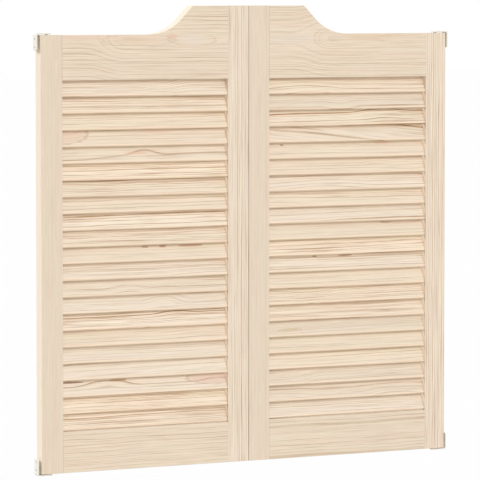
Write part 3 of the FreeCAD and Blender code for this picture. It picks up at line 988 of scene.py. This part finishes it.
@dataclass
class DoorLeaf:
    """One leaf: two stiles, two rails and its louvre slats."""

    side: str
    seed: int
    figures: dict[str, Figure]
    lined_stile: str
    lined_slats: tuple[int, ...]
    frame_boards: tuple[tuple[str, Grain], ...] = (
        ("hinge_stile", Grain.UPRIGHT), ("meeting_stile", Grain.UPRIGHT),
        ("top_rail", Grain.LEVEL), ("bottom_rail", Grain.LEVEL),
    )
    slat_count: int = 21
    slat_tilt: float = math.radians(22.0)
    # Least and most contrast of the slats with strong summer lines, and of the others.
    lined_contrast: tuple[float, float] = (1.5, 1.9)
    plain_contrast: tuple[float, float] = (0.65, 1.15)
    board_seeds: tuple[int, int] = (1, 90)
    sawmill: Sawmill = Sawmill()
    pine: SawnPine = SawnPine()
    # The slats' faces are painted paler towards their rounded lips, a painted highlight where the lips catch
    # the light, in the colour given for rubbing and highlight.
    slat_pine: SawnPine = SawnPine(rubbed_and_highlight_colour="#fde5c8", edge_sanding_and_painted_light=0.0, lip_painted_highlight=0.9)

    def dress(self) -> None:
        """Saw every board of the leaf from its own log and give it its figure."""
        for board in self.boards():
            pine = self.slat_pine if board.tilt else self.pine
            dress(board.node, pine.make(board))

    def boards(self) -> list[Board]:
        """List the leaf's boards.

        Returns:
            The boards, always in the same order, which keeps chance the same.
        """
        picker = random.Random(self.seed)
        found = [
            self.board(picker, name, grain, self.frame_tone(name), self.figures[name])
            for name, grain in self.frame_boards
        ]
        for number in range(1, self.slat_count + 1):
            name = f"slat_{number:02d}"
            tone = picker.choice(SLAT_TONES)
            contrast = self.lined_contrast if number in self.lined_slats else self.plain_contrast
            chance_figure = self.sawmill.saw(picker, picker.uniform(*contrast))
            figure = self.figures.get(name, chance_figure)
            found.append(self.board(picker, name, Grain.LEVEL, tone, figure, self.slat_tilt))
        return found

    def frame_tone(self, name: str) -> Tone:
        """Spring growth of a stile or rail, which is paler in the stile with the strong summer lines."""
        return LINED_STILE_TONE if name == self.lined_stile else FRAME_TONE

    def board(
        self, picker: random.Random, name: str, grain: Grain, tone: Tone, figure: Figure, tilt: float = 0.0
    ) -> Board:
        """Describe one board.

        Args:
            picker: Source of chance for the leaf.
            name: Name of the board within its leaf.
            grain: Which way its grain runs.
            tone: Its spring growth colours.
            figure: What its face shows.
            tilt: Its lean, about X.

        Returns:
            The board.
        """
        node = f"{self.side}_{name}"
        return Board(node, middle(node), grain, tilt, picker.randrange(*self.board_seeds), tone, figure)


@dataclass(frozen=True)
class TorsionSpring:
    """One flat-wire spring, which winds up as its leaf swings.

    Its tang, at the foot, turns with the leaf's sleeve. Its hook, at the top, stays in the jamb's pin, and
    the turns between share the twist.
    """

    side: str
    wire_height: float = 0.0065
    node: str = "torsion_springs"
    slot: str = "spring_steel"
    smooth_angle: float = math.radians(30.0)

    def build(self, material: bpy.types.Material) -> None:
        """Cut the spring out of the node that holds both, and give it its own object.

        Args:
            material: Its finish.
        """
        name = f"{self.side}_torsion_spring"
        shape = bmesh.new()
        shape.from_mesh(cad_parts[self.node].data)
        other_spring = [corner for corner in shape.verts if (corner.co.x < 0.0) != (self.side == "left")]
        bmesh.ops.delete(shape, geom=other_spring, context="VERTS")
        mesh = bpy.data.meshes.new(name)
        shape.to_mesh(mesh)
        shape.free()
        mesh.shade_smooth()
        mesh.set_sharp_from_angle(angle=self.smooth_angle)
        mesh.materials.append(material)
        spring = bpy.data.objects.new(name, mesh)
        bpy.context.collection.objects.link(spring)
        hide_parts(self.node)
        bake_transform(spring)
        log.info("%s: %s", name, material.name)


@dataclass
class PivotHardware:
    """Brackets, pins, washers, sleeves and springs."""

    brackets: tuple[str, ...] = ("bottom_brackets", "top_brackets")
    sleeves: tuple[str, ...] = ("left_pivot_sleeves", "right_pivot_sleeves")
    springs: tuple[TorsionSpring, ...] = (TorsionSpring("left"), TorsionSpring("right"))

    def dress(self) -> None:
        """Give each piece of hardware its finish, and hang the springs."""
        coat = PowderCoat().make()
        brass = TurnedMetal("turned_brass", "#d8b56c", "#b9934c", roughness=0.3).make()
        steel = TurnedMetal("turned_steel", "#b9babc", "#9a9b9e", roughness=0.28).make()
        spring = TurnedMetal("oil_tempered_spring_steel", "#6c6f76", "#4d4a48", roughness=0.4).make()
        nylon = MouldedNylon().make()
        for node in self.brackets:
            dress(node, coat)
        for node in self.sleeves:
            dress(node, brass)
        dress("pivot_pins", steel)
        dress("thrust_washers", nylon)
        for coil in self.springs:
            coil.build(spring)


@dataclass(frozen=True)
class Lamp:
    """A far soft lamp, told by the bearing and height that its light comes from, in degrees."""

    name: str
    bearing: float
    height: float
    strength: float
    softness: float
    colour: tuple[float, float, float] = (1.0, 1.0, 1.0)

    def build(self) -> None:
        """Hang the lamp."""
        light = bpy.data.lights.new(self.name, "SUN")
        light.energy = self.strength
        light.angle = math.radians(self.softness)
        light.color = self.colour
        lamp = bpy.data.objects.new(self.name, light)
        bearing, height = math.radians(self.bearing), math.radians(self.height)
        level = math.cos(height)
        towards = Vector((level * math.sin(bearing), -level * math.cos(bearing), math.sin(height)))
        lamp.rotation_euler = towards.to_track_quat("Z", "Y").to_euler()
        bpy.context.collection.objects.link(lamp)
        log.info("%s lamp of %.2f", self.name, self.strength)


@dataclass
class Studio:
    """Plain pale floor, even light with soft lamps in front and at the left rear, and the camera.

    Bearings are degrees from straight in front of the doors, to the right.
    """

    floor_height: float = -0.55
    floor_reach: float = 60.0
    floor_colour: str = "#d0cdc8"
    floor_seen_colour: str = "#f5f5f5"
    sky: float = 0.495
    lamps: tuple[Lamp, ...] = (
        Lamp("front", bearing=4.0, height=27.0, strength=1.075, softness=28.0),
        Lamp("fill", bearing=0.0, height=12.0, strength=0.42, softness=110.0),
        Lamp("left_rear", bearing=-112.0, height=38.0, strength=1.99, softness=30.0),
    )
    camera_place: tuple[float, float, float] = (-3.9294, -7.4670, 1.0989)
    camera_heading: float = math.radians(27.659)
    camera_dip: float = math.radians(3.9055)
    lens_mm: float = 270.73
    sensor_mm: float = 36.0
    camera_sees_to: float = 200.0

    def build(self) -> None:
        """Build the floor, the light and the camera."""
        self.lay_floor()
        self.light()
        self.place_camera()

    def lay_floor(self) -> None:
        """Lay the floor, which reflects as pale grey and shows the camera a white that keeps shadows."""
        reach = self.floor_reach
        mesh = bpy.data.meshes.new("studio_floor")
        corners = [(-reach, -reach), (reach, -reach), (reach, reach), (-reach, reach)]
        mesh.from_pydata([(x, y, self.floor_height) for x, y in corners], [], [(0, 1, 2, 3)])
        floor = bpy.data.objects.new("studio_floor", mesh)
        bpy.context.collection.objects.link(floor)
        graph = ShaderGraph(bpy.data.materials.new("painted_studio_floor"))
        seen = self.seen_directly(graph, graph.add("LightPath"))
        colour = graph.add(
            "Mix", {"Factor": seen, 6: linear(self.floor_colour), 7: linear(self.floor_seen_colour)},
            data_type="RGBA",
        )
        surface = graph.add("BsdfDiffuse", {"Color": colour.outputs[2]})
        graph.add("OutputMaterial", {"Surface": surface})
        mesh.materials.append(graph.owner)
        log.info("floor at %.2f m", self.floor_height)

    def light(self) -> None:
        """Fill the room with even light and hang the lamps."""
        world = bpy.data.worlds.new("studio")
        bpy.context.scene.world = world
        graph = ShaderGraph(world)
        rays = graph.add("LightPath")
        through = {0: self.seen_directly(graph, rays), 1: rays.outputs["Is Transmission Ray"]}
        seen = graph.add("Math", through, operation="MAXIMUM")
        strength = graph.add("MapRange", {"Value": seen, "To Min": self.sky, "To Max": 1.0})
        background = graph.add("Background", {"Color": (1, 1, 1, 1), "Strength": strength})
        graph.add("OutputWorld", {"Surface": background})
        for lamp in self.lamps:
            lamp.build()

    def seen_directly(self, graph: ShaderGraph, rays: bpy.types.Node) -> bpy.types.Node:
        """Tell which rays come straight from the camera or by way of a gloss, and see the studio white."""
        straight = {0: rays.outputs["Is Camera Ray"], 1: rays.outputs["Is Glossy Ray"]}
        return graph.add("Math", straight, operation="MAXIMUM")

    def place_camera(self) -> None:
        """Set up the camera, level across and dipped a little."""
        lens = bpy.data.cameras.new("camera")
        lens.lens = self.lens_mm
        lens.sensor_width = self.sensor_mm
        lens.clip_end = self.camera_sees_to
        camera = bpy.data.objects.new("camera", lens)
        camera.location = self.camera_place
        camera.rotation_euler = (math.pi / 2 - self.camera_dip, 0.0, -self.camera_heading)
        bpy.context.collection.objects.link(camera)
        bpy.context.scene.camera = camera


def main() -> None:
    """Dress both leaves and the hardware, and set up the studio."""
    logging.basicConfig(level=logging.INFO, format="%(message)s")
    bpy.context.scene.view_settings.view_transform = "Standard"
    leaves = (
        DoorLeaf(
            "left", seed=11, figures=LEFT_FIGURES,
            lined_stile="meeting_stile", lined_slats=(1, 2, 7, 12, 13, 15, 16),
        ),
        DoorLeaf(
            "right", seed=23, figures=RIGHT_FIGURES,
            lined_stile="hinge_stile", lined_slats=(7, 11, 19),
        ),
    )
    for leaf in leaves:
        leaf.dress()
    PivotHardware().dress()
    Studio().build()


if __name__ == "__main__":
    main()
